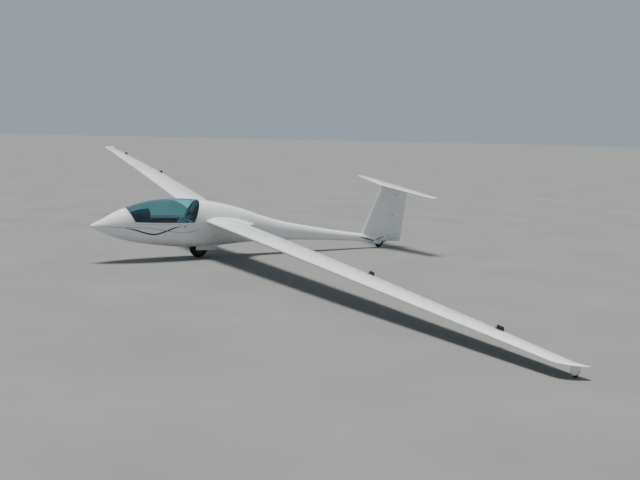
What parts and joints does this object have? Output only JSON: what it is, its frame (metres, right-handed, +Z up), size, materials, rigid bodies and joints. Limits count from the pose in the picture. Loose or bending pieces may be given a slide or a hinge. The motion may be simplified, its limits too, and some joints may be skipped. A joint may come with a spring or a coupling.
{
  "type": "single-seat sailplane glider",
  "caption": "Single-seat T-tail sailplane on its wheels, with long tapered wings, hinged canopy, ailerons, airbrakes, elevator, rudder and tip wheels.",
  "frame": {"origin": "centre of the bounding box at floor level, with the glider parked on its main, tail and port tip wheels", "axes": "+X towards the nose, +Y towards the port wing tip, +Z up from the floor"},
  "size_m": [6.844, 17.9124, 1.9342],
  "materials": {
    "gelcoat": "glossy white gelcoat over glass fibre",
    "canopy_glass": "clear blue-green tinted acrylic",
    "tyre": "black rubber, lightly dusty",
    "steel": "grey painted and bare steel",
    "alloy": "cast and machined aluminium",
    "composite": "pale grey moulded fibre shell",
    "trim": "dark matt moulded plastic",
    "upholstery": "dark blue woven fabric over foam",
    "clamp": "black moulded plastic"
  },
  "bodies": {
    "airframe": {"cockpit_shell": "gelcoat", "rear_fuselage": "gelcoat", "fin": "gelcoat", "tailplane": "gelcoat", "tow_hook": "steel", "tail_axle": "steel", "seat_pan": "composite", "seat_cushion": "upholstery", "rear_liner": "trim", "headrest": "upholstery", "instrument_hood": "trim", "instrument_panel": "trim", "instrument_pedestal": "trim", "control_stick": "trim", "main_gear_fork": "steel", "main_axle": "steel", "gear_door_port": "gelcoat", "gear_door_starboard": "gelcoat", "wing_inner_port": "gelcoat", "wing_tip_port": "gelcoat", "tip_fairing_port": "gelcoat", "wing_inner_starboard": "gelcoat", "wing_tip_starboard": "gelcoat", "tip_fairing_starboard": "gelcoat"},
    "canopy": {"canopy_frame": "gelcoat", "canopy_glass": "canopy_glass"},
    "rudder": {"rudder": "gelcoat"},
    "elevator": {"elevator": "gelcoat"},
    "aileron_port": {"aileron_port": "gelcoat", "gust_lock_inner_port": "clamp", "gust_lock_outer_port": "clamp"},
    "aileron_starboard": {"aileron_starboard": "gelcoat", "gust_lock_inner_starboard": "clamp", "gust_lock_outer_starboard": "clamp"},
    "airbrake_port": {"airbrake_port": "gelcoat"},
    "airbrake_starboard": {"airbrake_starboard": "gelcoat"},
    "main_wheel": {"main_tyre": "tyre", "main_rim": "alloy"},
    "tail_wheel": {"tail_tyre": "tyre", "tail_rim": "alloy"},
    "tip_wheel_port": {"tip_wheel_port": "tyre"},
    "tip_wheel_starboard": {"tip_wheel_starboard": "tyre"}
  },
  "joints": [
    {"name": "canopy_hinge", "type": "hinge", "parent": "airframe", "child": "canopy", "pos_m": [2.82674, -0.00804, 0.9592], "axis": [0, 0.9942, -0.1078], "range_deg": [0, 50]},
    {"name": "rudder_hinge", "type": "hinge", "parent": "airframe", "child": "rudder", "pos_m": [-2.99039, -0.09728, 0.13601], "axis": [-0.1306, 0.1068, 0.9857], "range_deg": [-30, 30]},
    {"name": "elevator_hinge", "type": "hinge", "parent": "airframe", "child": "elevator", "pos_m": [-3.11401, 0.03185, 1.32721], "axis": [0, -0.9942, 0.1078], "range_deg": [-24, 20]},
    {"name": "aileron_port_hinge", "type": "hinge", "parent": "airframe", "child": "aileron_port", "pos_m": [0.63965, 4.70047, 0.41253], "axis": [0.0066, 0.9978, -0.066], "range_deg": [-20, 20]},
    {"name": "aileron_starboard_hinge", "type": "hinge", "parent": "airframe", "child": "aileron_starboard", "pos_m": [0.64255, -4.7286, 1.3947], "axis": [0.0084, -0.992, 0.1257], "range_deg": [-20, 20]},
    {"name": "airbrake_port_slide", "type": "slide", "parent": "airframe", "child": "airbrake_port", "axis": [-0.0728, 0.058, 0.9957], "range_m": [0, 0.07]},
    {"name": "airbrake_starboard_slide", "type": "slide", "parent": "airframe", "child": "airbrake_starboard", "axis": [-0.0728, 0.1478, 0.9863], "range_m": [0, 0.07]},
    {"name": "main_wheel_spin", "type": "hinge", "parent": "airframe", "child": "main_wheel", "pos_m": [1.33709, -0.09282, 0.17716], "axis": [0, -0.9942, 0.1078], "continuous": true},
    {"name": "tail_wheel_spin", "type": "hinge", "parent": "airframe", "child": "tail_wheel", "pos_m": [-2.80823, -0.10125, 0.0994], "axis": [0, -0.9942, 0.1078], "continuous": true},
    {"name": "tip_wheel_port_spin", "type": "hinge", "parent": "airframe", "child": "tip_wheel_port", "pos_m": [0.67543, 8.82409, 0.03768], "axis": [0, -0.9942, 0.1078], "continuous": true},
    {"name": "tip_wheel_starboard_spin", "type": "hinge", "parent": "airframe", "child": "tip_wheel_starboard", "pos_m": [0.68629, -8.8485, 1.80387], "axis": [0, -0.9942, 0.1078], "continuous": true}
  ],
  "couplings": [
    {"joint": "aileron_starboard_hinge", "follows": "aileron_port_hinge", "ratio": 1},
    {"joint": "airbrake_starboard_slide", "follows": "airbrake_port_slide", "ratio": 1}
  ]
}
